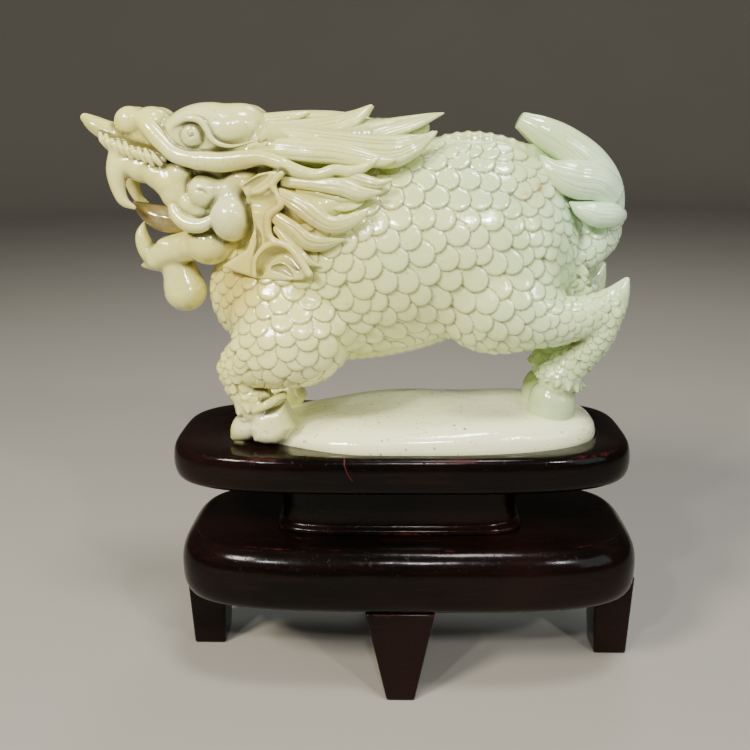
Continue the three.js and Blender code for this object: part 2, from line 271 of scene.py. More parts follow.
def sculpt_front_hoof(clay):
    clay.plate(FRONT_HOOF, lambda x, z: -18.6, 17, 1.2, 5.4)
    clay.rod([(-62, -18, 121.5), (-67.8, -18, 118), (-72, -18, 114.2)], [6.6, 5.6, 2.2], 0.3)
    clay.ball((-66.4, -21.4, 123.6), (2.8, 3.2, 2.2), 0.6)
    clay.rod([(-62, -26.4, 128), (-56, -26.8, 131), (-50.6, -21, 133.4)], [1.1, 1.7, 1.2], 0.8)  # strap


def sculpt_hind_leg(clay):
    clay.ball((36, -15, 172), (25, 14, 22.5), 6)  # haunch
    thigh = [(38, -17, 168), (50, -18, 165), (60, -19, 163.5), (70, -19.5, 165), (79, -19.5, 169)]
    clay.rod(thigh, [16, 13, 10, 8, 6.4], 4, flat=0.85)
    clay.rod([(78, -19.5, 167), (82.4, -19.5, 172.6), (86, -19.5, 179.4)], [6.8, 5.0, 1.3], 1.5, flat=0.7)
    shin = [(80, -19.5, 166), (76.6, -17.4, 156.3), (70.4, -14.2, 146.6), (64.6, -11.2, 139)]
    clay.rod(shin, [5.5, 6.4, 6.8, 7.4], 2)


def sculpt_hind_hoof(clay):
    path = [(62.5, -9.5, 131.2), (61.9, -9.5, 128.6), (61.2, -9.5, 126), (60.8, -9.5, 121)]
    clay.rod(path, [7.8, 8.5, 9.9, 9.8], 0.5)


def cuff(clay, centre, radii, tilt, flaps):
    """A skirt of soft lapping scales above a hoof, leaning by degrees about Y."""
    centre, lean = np.array(centre), math.radians(tilt)
    down = np.array([math.sin(lean), 0, -math.cos(lean)])
    clay.rod([centre - down * 7, centre - down * 0.9], [radii[0], radii[1] - 0.9], 1, steps=1)
    for i in range(flaps):
        turn = 2 * math.pi * (i + 0.5) / flaps
        out = np.array([math.cos(turn) * math.cos(lean), math.sin(turn), math.cos(turn) * math.sin(lean)])
        root = centre + out * (radii[1] - 3.2) - down * 3.5
        tip = centre + out * (radii[1] + 0.2) + down * RNG.uniform(-0.4, 0.5)
        clay.rod([root, tip], [3.0, 0.7], 1.4, steps=1)


WEB = [(48.5, 230.5), (56, 232), (70, 225), (78, 214), (80, 200), (72, 190), (60, 190), (50, 204), (46, 218)]
TAIL_FIN = [
    (60, 186), (65, 187), (71.4, 183.6), (73.8, 179.8), (72.4, 178.6), (74.2, 176.6), (72.8, 175.4),
    (75.2, 173), (66, 166), (58, 170),
]


def sculpt_tail_root(clay):
    path = [
        (58, 0, 184), (71.5, 0, 187), (78.4, 0, 192.6), (81, 0, 200), (80.6, 0, 208), (77, 0, 217),
        (67, 0, 226), (55, 0, 233),
    ]
    clay.rod(path, [9, 7.8, 7.2, 6.6, 6.2, 6.0, 5.4, 3.2], 2)
    clay.plate(WEB, lambda x, z: 0.0, 8, 2, 2)
    clay.plate(TAIL_FIN, lambda x, z: -4.0, 10, 1, 0.6)


def sculpt_body():
    clay = Clay((-90, -42, 106), (94, 0, 244), BODY_VOXEL)
    sculpt_torso(clay)
    sculpt_crest(clay)
    sculpt_front_leg(clay)
    sculpt_hind_leg(clay)
    sculpt_tail_root(clay)
    cuff(clay, (-62.9, -19.8, 128.6), (5.8, 8.0), 23, 9)
    cuff(clay, (63.4, -10.2, 135.4), (7.2, 9.6), -18, 12)
    clay.rod([(67, -11, 136.4), (71, -10.6, 134.8), (74.8, -10, 133)], [3.4, 2.4, 0.6], 0.5)
    clay.rod([(59.4, -10.6, 140.8), (53.6, -10.6, 138.8)], [3.4, 0.6], 0.5)
    sculpt_front_hoof(clay)
    sculpt_hind_hoof(clay)
    return clay


# ---- Scales, raised on the body's mesh ----
FLOW = [  # x, z of a place on the flank, the way its scales point, and their spacing
    (-30, 195, 0.75, -0.66, 8.4),
    (0, 190, 0.85, -0.52, 8.8),
    (25, 205, 0.82, -0.57, 8.2),
    (45, 212, 0.7, -0.7, 7.0),
    (58, 195, 0.45, -0.9, 6.4),
    (36, 175, 0.75, -0.66, 8.6),
    (30, 160, 0.8, -0.6, 7.6),
    (52, 165, 0.9, -0.4, 6.2),
    (72, 167, 0.95, 0.3, 4.2),
    (78, 160, -0.3, -0.95, 4.0),
    (66, 145, -0.45, -0.9, 4.0),
    (-45, 172, 0.15, -1.0, 8.4),
    (-30, 155, 0.35, -0.94, 8.0),
    (-48, 148, -0.3, -0.95, 7.8),
    (-62, 146, -0.8, -0.6, 6.0),
    (-72, 148, -0.5, -0.85, 3.8),
    (-70, 135, 0.3, -0.95, 3.8),
    (-72, 175, -0.2, -0.98, 7.0),
    (-60, 160, -0.1, -1.0, 7.6),
    (-10, 150, 0.85, -0.3, 7.8),
]
FLOW_BLUR = 4.0  # millimetres over which one place's way gives way to the next
SCALE_PITCH = 8.7  # the torso's scales: along a row, and their rows' lean in degrees
SCALE_LEAN = -33.0
ROW_PITCH = 0.86  # row to row, over the pitch
SCALE_CLOUD = 15000  # spots that a scale can be planted on
WIDEST_GAP = 0.66  # from any spot to its scale, over the spacing
NEIGHBOURS = 9  # the scales that can lie over one point
SCALE_AHEAD = 0.62  # a scale's reach over its spacing: to its tip, its root and its sides
SCALE_BEHIND = 1.25
SCALE_ASIDE = 0.6
SCALE_PLUMP = 0.11  # over the spacing: how plump a scale is, how much it rises to its tip
SCALE_RISE = 0.17
SCALE_SINK = 0.06  # and how far the whole coat sits in
GROOVE_FROM = 0.86  # the share of a scale's reach where the painted shade at its edge starts
RIB_HEIGHT = 0.3
RIB_PITCH = 4.2


def vertex_normals(points, quads):
    """Unit normals, which also point out of OpenVDB's quads."""
    a, b, c, d = (points[quads[:, k]] for k in range(4))
    across = np.cross(c - a, d - b)
    total = np.zeros_like(points)
    for k in range(4):
        np.add.at(total, quads[:, k], across)
    return total / np.maximum(np.linalg.norm(total, axis=1, keepdims=True), 1e-9)


def flow_at(points, normals):
    """The way the scales point, in the surface, and their spacing, at each point."""
    table = np.array(FLOW)
    gaps = (points[:, None, 0] - table[:, 0]) ** 2 + (points[:, None, 2] - table[:, 1]) ** 2
    weights = 1 / (gaps + FLOW_BLUR**2) ** 2
    weights /= weights.sum(1, keepdims=True)
    way = np.zeros_like(points)
    way[:, 0] = weights @ table[:, 2]
    way[:, 2] = weights @ table[:, 3]
    way -= normals * (way * normals).sum(1, keepdims=True)
    way /= np.maximum(np.linalg.norm(way, axis=1, keepdims=True), 1e-9)
    return way, weights @ table[:, 4]


def scale_cover(points):
    """How far scales cover each point, from 0 on hooves, crest and belly band to 1."""
    x, y, z = points.T
    fade = lambda value, low, high: np.clip((value - low) / (high - low), 0, 1)
    cover = fade(z, 131, 134) * np.where(x > 0, fade(z, 136.5, 139), 1)
    cover *= fade(np.hypot(x - 86.4, z - 180), 7, 10)
    back = np.interp(x, [p[0] for p in CREST], [p[2] for p in CREST])
    cover *= 1 - (np.abs(y) < 7.6) * (z > back - 6.8) * (x > -14) * (x < 60)
    return cover * (1 - belly_band(points))


def belly_band(points):
    x, y, z = points.T
    bottom = np.interp(x, [p[0] for p in TORSO], [p[1] - p[2] for p in TORSO])
    return np.clip((15 - np.abs(y)) / 2, 0, 1) * np.clip((bottom + 7 - z) / 2, 0, 1) * (x > -34) * (x < 22)


def nearest(points, seeds, count):
    """Indices of the nearest seeds to each point, a block of points at a time."""
    rows = []
    for block in np.array_split(points, max(1, len(points) // 20000)):
        gaps = (seeds**2).sum(1) - 2 * block @ seeds.T
        rows.append(np.argpartition(gaps, count - 1, axis=1)[:, :count])
    return np.concatenate(rows)


def torso_lattice():
    """Rows of spots laid over one flank of the torso, square to the way its scales point."""
    xs, zs, rs = (np.array([p[k] for p in TORSO]) for k in range(3))
    turn = np.linspace(0, math.pi, 200)
    arc = np.cumsum(np.hypot(TORSO_FLAT * np.cos(turn), np.sin(turn))) * (turn[1] - turn[0])
    c, s = math.cos(math.radians(SCALE_LEAN)), -math.sin(math.radians(SCALE_LEAN))
    spots = []
    for i in range(-12, 24):
        for j in range(-14, 18):
            ahead, aside = i * SCALE_PITCH * ROW_PITCH, (j + 0.5 * (i % 2)) * SCALE_PITCH
            x, down = -20 + c * ahead + s * aside, 40 + s * ahead - c * aside
            radius = np.interp(x, xs, rs)
            if -44 < x < 52 and 6 < down < arc[-1] * radius * 0.86:
                angle = np.interp(down / radius, arc, turn)
                z = np.interp(x, xs, zs) + radius * math.cos(angle)
                spots.append((x, -radius * TORSO_FLAT * math.sin(angle), z))
    return np.array(spots)


def plant_scales(points, normals):
    """One seed for each scale of the near half: rows on the torso, the gaps filled evenly."""
    near = np.flatnonzero((points[:, 1] < 1) & (scale_cover(points) > 0.3))
    pick = RNG.choice(near, SCALE_CLOUD, replace=False)
    cloud = points[pick]
    _, spacing = flow_at(cloud, normals[pick])
    lattice = torso_lattice()
    snap = nearest(lattice, cloud, 1)[:, 0]
    close = np.linalg.norm(cloud[snap] - lattice, axis=1) < 6
    seeds = list(dict.fromkeys(snap[close]))
    gap = np.full(len(cloud), 1e9)
    for seed in seeds:
        gap = np.minimum(gap, np.linalg.norm(cloud - cloud[seed], axis=1) / spacing)
    while gap.max() > WIDEST_GAP:
        seeds.append(int(gap.argmax()))
        gap = np.minimum(gap, np.linalg.norm(cloud - cloud[seeds[-1]], axis=1) / spacing)
    places = cloud[seeds]
    for _ in range(4):
        owner = nearest(cloud, places, 1)[:, 0]
        share = np.maximum(np.bincount(owner, minlength=len(places)), 1)
        middles = [np.bincount(owner, cloud[:, k], minlength=len(places)) / share for k in range(3)]
        places = 0.5 * places + 0.5 * np.column_stack(middles)
    snap = pick[nearest(places, cloud, 1)[:, 0]]
    return points[snap], normals[snap]


def raise_scales(points, quads):
    """Points moved out so that each scale laps over the next, and how much painted shade falls in the grooves at each
    scale's edge.
    """
    normals = vertex_normals(points, quads)
    near = near_half(points, points)
    seeds, seed_normals = plant_scales(points, normals)
    way, spacing = flow_at(seeds, seed_normals)
    aside = np.cross(seed_normals, way)
    lift = RNG.uniform(-0.08, 0.08, len(seeds))
    top = np.full(len(points), -9.0)
    edge = np.ones(len(points))
    ahead = np.zeros(len(points))
    size = np.full(len(points), 6.0)
    picks = nearest(near, seeds, NEIGHBOURS)
    for k in range(NEIGHBOURS):
        seed = picks[:, k]
        offset = near - seeds[seed]
        u = (offset * way[seed]).sum(1) / spacing[seed]
        v = (offset * aside[seed]).sum(1) / spacing[seed]
        w = np.abs((offset * seed_normals[seed]).sum(1)) / spacing[seed]
        r = np.hypot(u / np.where(u > 0, SCALE_AHEAD, SCALE_BEHIND), v / SCALE_ASIDE)
        better = (r < 1) & (w < 0.7) & (u + lift[seed] > top)
        top = np.where(better, u + lift[seed], top)
        edge = np.where(better, r, edge)
        ahead = np.where(better, u, ahead)
        size = np.where(better, spacing[seed], size)
    plump = np.clip(1 - edge**7, 0, 1) ** 0.6
    cover = scale_cover(near)
    rise = SCALE_RISE * np.clip(ahead, -0.5, SCALE_AHEAD)
    height = cover * size * (SCALE_PLUMP * plump + rise - SCALE_SINK)
    ribs = belly_band(near) * RIB_HEIGHT * np.abs(np.sin(near[:, 0] * math.pi / RIB_PITCH))
    # painted shade at the edge of each scale, where it meets the next
    groove_shade = cover * np.clip((edge - GROOVE_FROM) / (1 - GROOVE_FROM), 0, 1)
    return points + normals * (height + ribs)[:, None], groove_shade


# ---- The head, in finer clay ----
HEAD_VOXEL = 0.4


def sculpt_skull(clay):
    clay.rod([(-46, 0, 220), (-62, 0, 224), (-78, 0, 226), (-92, 0, 230)], [21, 20, 16, 11], 3, flat=0.8)
    clay.ball((-76.5, -7.4, 236.3), (18.6, 11.2, 11.8), 1.5)  # brow dome
    clay.ball((-64, -6, 238.6), (10, 9.5, 9), 3)
    clay.rod([(-86, 0, 232), (-98, 0, 235), (-108, 0, 236.5)], [11, 9, 6.5], 3, flat=1.15)
    clay.ball((-108.6, -4.6, 241.3), (6.4, 5.8, 5.9), 0.8)  # nostrils
    clay.ball((-100, -4.2, 241.2), (7.6, 7.6, 5.8), 1.6)
    clay.rod(
        [(-108, 0, 235), (-115, 0, 236), (-120, 0, 237.9), (-124.6, 0, 240.4), (-128.2, 0, 243)],
        [5.4, 4.6, 4.2, 3.4, 1.9],
        1.5,
        flat=1.35,
    )
    # the hair's bulk, under its locks
    clay.rod([(-50, 0, 230), (-30, 0, 231), (-8, 0, 233.5), (6, 0, 237.5)], [12, 11, 8, 3.5], 2, flat=1.75)
    clay.rod([(-50, -14, 212), (-36, -20, 208), (-22, -23, 212)], [9, 7, 4], 2)


def spiral(clay, centre, radius, turns, thickness):
    """A spiral channel carved into a bulge that faces the flank."""
    run = np.linspace(0, 1, 16)
    angle = 2 * math.pi * turns * run
    reach = radius * (1 - 0.85 * run)
    path = np.column_stack([
        centre[0] + reach * np.cos(angle),
        np.full(len(run), centre[1]),
        centre[2] + reach * np.sin(angle),
    ])
    clay.rod(path, [thickness] * len(run), 0.3, carve=True, steps=2)


def sculpt_eye(clay):
    clay.ball((-82.0, -20.4, 235.2), (6.3, 5.6, 6.0), 0.8, carve=True)  # socket
    clay.ball((-76.5, -20.6, 231.8), (4.6, 3.6, 2.8), 0.8, carve=True)
    clay.rod(  # crease from the eye's corner back along the cheek
        [(-77, -20.5, 236), (-75, -20.6, 232.4), (-69.5, -20.8, 229.8), (-61, -20.5, 230), (-53, -19, 233)],
        [2.0, 1.9, 1.5, 1.2, 0.6],
        0.8,
        carve=True,
    )
    clay.ball((-81.4, -14.6, 235.9), (4.9, 5.0, 5.4), 0.3)
    spiral(clay, (-81.3, -19.5, 236.3), 2.0, 1.2, 0.55)
    clay.rod(  # upper lid
        [(-90, -14.6, 238), (-87, -16.6, 240.2), (-82.6, -18.2, 241.9), (-78, -19, 241.2), (-75.4, -19.3, 238.2),
         (-73.8, -19.6, 234.8), (-70.4, -20, 232.4), (-65, -20, 231.6), (-58, -19, 233.2)],
        [0.6, 1.0, 1.2, 1.3, 1.3, 1.1, 0.9, 0.7, 0.4],
        0.8,
    )


def sculpt_muzzle(clay):
    clay.rod(  # upper lip
        [(-114.5, -4.5, 229), (-108, -6.5, 225.3), (-99, -8, 222.6), (-91, -9.4, 217), (-87, -10, 211)],
        [3.0, 6.0, 6.4, 7.6, 5],
        1.5,
    )
    gum = [(-119, -6, 234.6), (-113, -8.5, 232.2), (-106.4, -10.6, 230), (-100, -12.4, 228.2), (-94, -13.8, 227)]
    clay.rod(gum, [1.2, 1.7, 1.9, 1.8, 1.4], 1.0)
    for i, spot in enumerate(evenly(gum, 3.1)):
        reach = 2.4 + 0.4 * math.sin(2.1 * i)
        root = spot + (-1.5, -1.0, reach)
        tip = spot + (1.4, -2.2, -reach)
        clay.rod([root, spot + (-0.3, -2.5, 0), tip], [0.8, 1.35, 1.2], 0.2, steps=2)
    for centre, radius in (
        ((-98.5, -10.6, 220.8), 4.8),
        ((-93.6, -11.4, 217.8), 5.2),
        ((-88.6, -12.4, 221.2), 4.8),
        ((-104.8, -9.2, 222.9), 4.4),
        ((-110.5, -7.8, 224.8), 4.2),
        ((-91.6, -11.4, 213), 5.2),
        ((-85.5, -13.4, 209.8), 4.4),
    ):
        clay.ball(centre, radius, 1.4)
    clay.rod(  # upper fang
        [(-113, -6.5, 229), (-114.6, -8.4, 222.5), (-114.6, -9.4, 216.2), (-112.8, -9.6, 211), (-109, -9.3, 208.4)],
        [5.0, 4.3, 2.9, 2.1, 0.9],
        1.5,
    )


def sculpt_ribbon(clay):
    """The rolled lip that starts at the nose, passes under the eye and trails into the mane."""
    roll = [
        ([(-105, -8, 243.0), (-99.8, -11, 239), (-94.3, -13.4, 233.2), (-88.8, -15.4, 228.6), (-80.3, -17.6, 226.5)],
         [2.0, 3.0, 3.2, 2.9, 3.1]),
        ([(-80.3, -17.6, 226.5), (-70, -19, 225.9), (-61, -20.3, 226.9), (-53.6, -21.8, 227.2), (-47, -23.6, 225)],
         [3.1, 3.5, 3.2, 2.6, 2.4]),
        ([(-47, -23.6, 225), (-39.6, -25.4, 222.2), (-33, -26.6, 221.2), (-27, -27, 222.8), (-21.5, -27.4, 222.2)],
         [2.4, 2.1, 1.8, 1.8, 1.8]),
        ([(-21.5, -27.4, 222.2), (-17, -27.4, 223), (-13, -26.8, 225), (-9.5, -25.6, 227.6)],
         [1.8, 1.6, 1.2, 0.4]),
    ]
    for path, radii in roll:
        clay.rod(path, np.array(radii) * 1.12, 0.6, flat=0.85)


def sculpt_cheek(clay):
    clay.ball((-79, -13.6, 214.6), (6.7, 6.4, 6.6), 0.6)
    spiral(clay, (-80.6, -19.9, 212.4), 4.4, 0.8, 0.6)
    clay.rod(
        [(-92, -13, 211), (-90.4, -15, 206), (-86, -17, 202.6), (-80.6, -18.4, 201.8), (-76, -19, 204), (-73, -18.8, 207.2)],
        [2.2, 2.9, 3.1, 2.8, 2.0, 0.6],
        0.5,
    )
    clay.ball((-84, -12, 207), (7, 5, 6), 0.8)
    clay.ball((-73.5, -12, 208), (5, 5, 8), 1.5)
    clay.ball((-68.4, -15.6, 204.4), (8.6, 9.2, 9.2), 0.6)
    clay.ball((-68.6, -12.4, 214.6), (7.2, 7, 6.0), 3)
    clay.ball((-63, -15, 219), (7, 5.6, 5), 2)


def sculpt_jaw(clay):
    clay.ball((-79.5, -8, 193.8), (10.3, 9.5, 8.8), 1.2)
    clay.ball((-87.5, -7, 192.5), (5.5, 6.5, 5.6), 1)
    clay.rod([(-70, -5, 197), (-88, -5, 192.5), (-97, -4.6, 190.5), (-103.5, -3, 186.8)], [8, 6.4, 5.6, 4.6], 1.5)
    clay.ball((-98.5, -6.4, 193.4), (3.4, 3.0, 2.2), 1)
    clay.ball((-92.5, -8.2, 193.6), (3.2, 2.6, 2.8), 1)
    clay.rod(  # the single lower tusk
        [(-105, 0, 186.4), (-108.4, 0, 191.2), (-109.6, 0, 196.4), (-108.4, 0, 201.3)],
        [4.4, 3.7, 2.6, 0.6],
        1,
        flat=1.15,
    )
    clay.rod([(-103, 0, 184.5), (-108, 0, 184), (-111, 0, 183.6)], [3.4, 1.9, 0.4], 1, flat=1.5)
    clay.rod([(-98, 0, 189), (-95, 0, 181), (-93.2, 0, 173.2)], [7, 7.2, 9.0], 1.5)


EAR_FIN = [  # x, z outline
    (-63.5, 217.4), (-56, 221.6), (-49.6, 222.8), (-45.2, 221.6), (-48.2, 220), (-49, 217.6), (-47.9, 214.4),
    (-46.4, 211.2), (-47.4, 209), (-50, 207.4), (-51.6, 205), (-51.8, 202), (-51.4, 198.4), (-49, 196),
    (-44.8, 194.4), (-40.2, 190), (-36.4, 184.4), (-39.4, 182.2), (-47.3, 181.4), (-57.7, 181.6), (-67.5, 184),
    (-73, 186), (-62, 193), (-58.6, 201), (-59.6, 210),
]
FIN_GROOVES = [  # x, z path, radii, how far out its middle runs, blend
    ([(-62.8, 216), (-58, 218.3), (-52.6, 221)], [0.8, 1.4, 0.8], 0.0, 0.4),
    ([(-62, 211.8), (-57.5, 210.6), (-53.1, 211.2), (-50.4, 213.6)], [1.6, 2.8, 2.4, 1.2], 0.6, 1.0),
    ([(-58.4, 203), (-56.6, 197), (-58.4, 190.6)], [0.5, 1.0, 0.4], -0.3, 0.8),
    ([(-57, 184.4), (-55, 188.6), (-51.6, 191.4), (-48.4, 192.2)], [1.6, 2.8, 3.0, 2.6], -0.6, 0.5),
    ([(-48.4, 192.2), (-44.9, 190.6), (-41.4, 186.8)], [2.6, 2.4, 1.2], -0.4, 0.5),
    ([(-51.4, 186.2), (-47.8, 186.2), (-44.4, 184.0)], [1.0, 1.8, 1.0], 0.0, 0.4),
]
FIN_RIDGES = [  # x, z path and radius
    ([(-46.6, 221.6), (-49.8, 218), (-48.8, 214), (-47, 210.8)], 1.2),
    ([(-47.4, 209.8), (-51.9, 206.2), (-52.7, 202.4), (-52.2, 198.6), (-49.6, 196)], 1.3),
    ([(-58.8, 183.6), (-57.6, 190.2), (-53.4, 194.6), (-49, 196), (-44.6, 194.6), (-40.2, 189.8), (-37, 184.8)], 1.4),
    ([(-58, 214.6), (-54.5, 215.4), (-50.4, 218)], 0.9),
]


def fin_face(x, z):
    return -22.5 - 0.3 * (x + 62) - 0.04 * (217 - z)


def sculpt_ear_fin(clay):
    clay.plate(EAR_FIN, lambda x, z: fin_face(x, z) + 2.3, 4.6, 1.5, 1.4)
    for path, radius in FIN_RIDGES:
        clay.rod([(x, fin_face(x, z) - 0.3, z) for x, z in path], [radius] * len(path), 0.9)
    for path, radii, out, blend in FIN_GROOVES:
        clay.rod([(x, fin_face(x, z) - out, z) for x, z in path], radii, blend, carve=True)


def sculpt_head():
    clay = Clay((-135, -36, 160), (16, 0, 252), HEAD_VOXEL)
    sculpt_skull(clay)
    sculpt_eye(clay)
    sculpt_muzzle(clay)
    sculpt_cheek(clay)
    sculpt_jaw(clay)
    sculpt_ear_fin(clay)
    sculpt_ribbon(clay)
    return clay


def sculpt_tongue():
    clay = Clay((-116, -12, 190), (-70, 0, 214), 0.4)
    clay.rod(
        [(-76, 0, 202), (-88, 0, 202), (-96, 0, 202.4), (-102.5, 0, 203.8), (-107.4, 0, 206.4), (-111.6, 0, 209.6)],
        [5, 5.4, 5.7, 5.0, 3.2, 0.7],
        1,
        flat=1.25,
    )
    clay.rod([(-84, 0, 208), (-96, 0, 208.4), (-105, 0, 209.8)], [1.6, 1.6, 0.8], 0.8, carve=True)
    return clay


# ---- Locks of hair: leaf-shaped strands with hair lines cut along them ----
LOCK_SECTIONS = 48
HAIR_PITCH = 1.1
HAIR_STEP = 0.2
MANE = [  # stations of x, y, z, half-width, then thickness and how hollow the face is
    ([(-60, -5, 241, 3), (-49, -6.5, 241.6, 3.2), (-43, -6.5, 242.2, 2.4), (-37.5, -6, 243.8, 0.4)], 2.5, 0),
    ([(-56, -10, 236, 3.5), (-44, -11, 237, 4.6), (-28, -10.5, 238.4, 5.5), (-19.6, -9, 241.2, 4.3),
      (-13, -7.5, 246, 0.5)], 3.5, 0.1),
    ([(-30, -14, 233, 3.6), (-15, -12.5, 235.2, 5.2), (-6.7, -10.5, 237, 5.4), (1.7, -8, 239, 4.7),
      (8.7, -6, 241, 3.0), (14.8, -4.6, 242.8, 0.4)], 3, 0.35),
    ([(-60, -14, 230, 3), (-50, -18.5, 230.6, 4.2), (-37.4, -21.5, 229.6, 4.4), (-27, -22.5, 228.8, 4.4), (-17.5, -24, 227, 3.6),
      (-9, -25, 225.4, 2), (-4, -25, 226, 0.5)], 3, 0),
    ([(-58, -13, 234, 3), (-46, -16.5, 234, 4.6), (-32, -18, 232, 5.4), (-14, -20, 229.4, 6.2), (-5, -21, 229, 6.4), (2, -20.5, 230.9, 4.8),
      (7, -18, 233, 2.6), (11.6, -16, 236, 0.4)], 4, 0.25),
    ([(-26, -24, 221, 2.4), (-20, -26.5, 220.3, 2.4), (-14.7, -27.8, 218.6, 2.3), (-10, -28, 217.8, 1.8),
      (-4.9, -28, 219.4, 0.3)], 2, 0),
    ([(-47, -23, 218.6, 2), (-34, -26, 217.4, 2.4), (-24.2, -28, 216.6, 3.3), (-16.8, -29, 214.3, 2.8),
      (-9.2, -29, 214.8, 0.4)], 2.6, 0.1),
    ([(-42, -23.5, 214.4, 2), (-32.7, -25.5, 212.4, 2.8), (-25.8, -26.6, 210.6, 3), (-20.3, -27.4, 210.6, 2.6),
      (-15.6, -27.6, 211.4, 0.6)], 2, 0.8),
    ([(-48.5, -24, 214.4, 2.4), (-41, -28, 210.8, 3.5), (-35.2, -30, 207, 3.9), (-29.1, -31, 203.4, 3.5),
      (-23, -31, 203.6, 3.1), (-17.5, -30.6, 206.2, 2.1), (-13.8, -30, 209, 0.3)], 3.2, 0.2),
    ([(-50.5, -24.5, 206, 2.6), (-42.6, -28, 200.9, 3.4), (-37.8, -29, 197, 3.9), (-31.5, -29.6, 196, 3),
      (-23.2, -29.6, 197.4, 0.4)], 2.8, 0.1),
    ([(-50, -24.6, 201.6, 1.6), (-45.5, -27.6, 197, 2.1), (-41.4, -28.8, 192.9, 2.2), (-37.3, -29, 189.2, 1.8),
      (-33, -29, 187.4, 0.3)], 1.8, 0),
]
CROWN = ([(-58, 0, 242, 4), (-40, 0, 242.3, 6), (-25, 0, 241.4, 6.4), (-12, 0, 238.8, 5.6), (0, 0, 238.4, 3.6),
          (8, 0, 239.4, 0.4)], 2.6, 0)
TAIL = [
    ([(45.2, -2, 239.9, 3.3), (53.2, -4, 235.6, 5.8), (62.4, -5, 230.4, 7.0), (71.8, -5.5, 223.2, 7.5),
      (78.2, -5.5, 215, 7.2), (80.8, -5, 206.4, 6.3), (80.4, -4, 199, 5)], 5, 0),
    ([(52.2, -8, 226.5, 0.6), (57.2, -10, 221, 4.6), (65.3, -11, 217.8, 7.4), (74.5, -10, 216, 7.1),
      (82, -7, 210.5, 5.5)], 5.2, 0),
    ([(64.2, -9, 208.7, 0.5), (68.8, -10.8, 206, 3.5), (74.5, -11.4, 204.2, 5), (80.6, -9.5, 203.6, 4.9),
      (85, -6, 203, 3.2)], 4.8, 0),
]


def lock(stations, thick, hollow, outward, lines=1.0):
    """Points, quads and painted shade along the hair lines of one lock whose face looks outward(point)."""
    path, widths = smooth_path([s[:3] for s in stations], [s[3] for s in stations], steps=12)
    run = np.concatenate([[0], np.cumsum(np.linalg.norm(np.diff(path, axis=0), axis=1))])
    even = np.linspace(0, run[-1], LOCK_SECTIONS)
    path = np.column_stack([np.interp(even, run, path[:, k]) for k in range(3)])
    widths = np.maximum(np.interp(even, run, widths[:, 0]), 0.25)
    along = np.gradient(path, axis=0)
    along /= np.linalg.norm(along, axis=1, keepdims=True)
    face = np.array([outward(p) for p in path], float)
    face -= along * (face * along).sum(1, keepdims=True)
    face /= np.linalg.norm(face, axis=1, keepdims=True)
    across = np.cross(along, face)
    s = np.linspace(-1, 1, max(13, round(2 * widths.max() / HAIR_STEP)))
    under = np.linspace(1, -1, 8)[1:-1]
    fullness = np.minimum(widths / widths.max(), 1)[:, None]
    bulge = np.sqrt(np.maximum(1 - s**2, 0))
    dome = thick * fullness**0.7 * bulge * (1 - hollow * (1 - s**2) ** 1.5)
    cut = lines * hair_lines(s, widths) * fullness * bulge
    over = path[:, None] + across[:, None] * (widths[:, None, None] * s[:, None])
    over = over + face[:, None] * (dome - cut)[:, :, None]
    base = path[:, None] + across[:, None] * (widths[:, None, None] * under[:, None])
    base = base - face[:, None] * (0.6 * thick * fullness * np.sqrt(1 - under**2))[:, :, None]
    rings = np.concatenate([over, base], axis=1)
    # painted shade along the hair lines cut in the lock
    groove_shade = np.concatenate([np.clip(cut * 1.8, 0, 1), np.zeros((LOCK_SECTIONS, len(under)))], axis=1)
    return *tube_faces(rings), groove_shade.ravel()


def hair_lines(s, widths):
    """Depth of the fine lines cut along a lock, each over part of its length."""
    run = np.linspace(0, 1, LOCK_SECTIONS)[:, None]
    depth = np.zeros((LOCK_SECTIONS, len(s)))
    spot = -1 + RNG.uniform(0.1, 0.25)
    while spot < 0.92:
        start, end = RNG.uniform(-0.2, 0.35), RNG.uniform(0.6, 1.2)
        reach = np.clip((run - start) / 0.15, 0, 1) * np.clip((end - run) / 0.15, 0, 1)
        centre = spot + 0.06 * np.sin(4 * run + RNG.uniform(0, 6))
        gap = (s - centre) * widths[:, None]
        depth = np.maximum(depth, RNG.uniform(0.2, 0.5) * reach * np.exp(-((gap / 0.34) ** 2)))
        spot += RNG.uniform(0.9, 1.9) * HAIR_PITCH / widths.max()
    return depth


def tube_faces(rings):
    """Points and quads of a closed tube over rings, its ends closed by fans of quads."""
    count, size = rings.shape[:2]
    index = np.arange(count * size).reshape(count, size)
    turned = np.roll(index, -1, axis=1)
    quads = np.stack([index[:-1], turned[:-1], turned[1:], index[1:]], axis=-1).reshape(-1, 4)
    half = size // 2
    caps = []
    for ring, flip in ((index[0], True), (index[-1], False)):
        for k in range(half - 1 + size % 2):
            cap = [ring[k], ring[k + 1], ring[size - 2 - k], ring[size - 1 - k]]
            caps.append(cap[::-1] if flip else cap)
    return rings.reshape(-1, 3), np.concatenate([quads, caps])


def join_shells(shells):
    """Several (points, quads, painted shade) shells as one."""
    starts = np.cumsum([0] + [len(points) for points, *_ in shells])
    points = np.concatenate([shell[0] for shell in shells])
    quads = np.concatenate([shell[1] + start for shell, start in zip(shells, starts)])
    return points, quads, np.concatenate([shell[2] for shell in shells])


def mirrored(shell):
    points, quads, groove_shade = shell
    return points * (1, -1, 1), quads[:, ::-1], groove_shade


def mane_outward(point):
    return 0, point[1] * 1.7 - 0.01, point[2] - 216


def tail_outward(point):
    return 0.15, -1, 0.1


def hair(locks, outward, lines):
    shells = [lock(*each, outward, lines) for each in locks]
    return join_shells(shells + [mirrored(shell) for shell in shells])


# ---- The mound and the stand: rings of rounded rectangles ----
RING_POINTS = 220
MOUND = {"shift": 2.7, "length": 78.6, "depth": 33.5, "power": 2.6, "edge": 112.8, "rise": 9.0, "taper": 0.34}
TAPER_START = 20.0
TAPER_LENGTH = 55.0


def extent(node):
    """A node's lowest and highest corners, in millimetres about the slab's middle."""
    return [(np.array(corner) - ORIGIN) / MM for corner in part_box(node)]


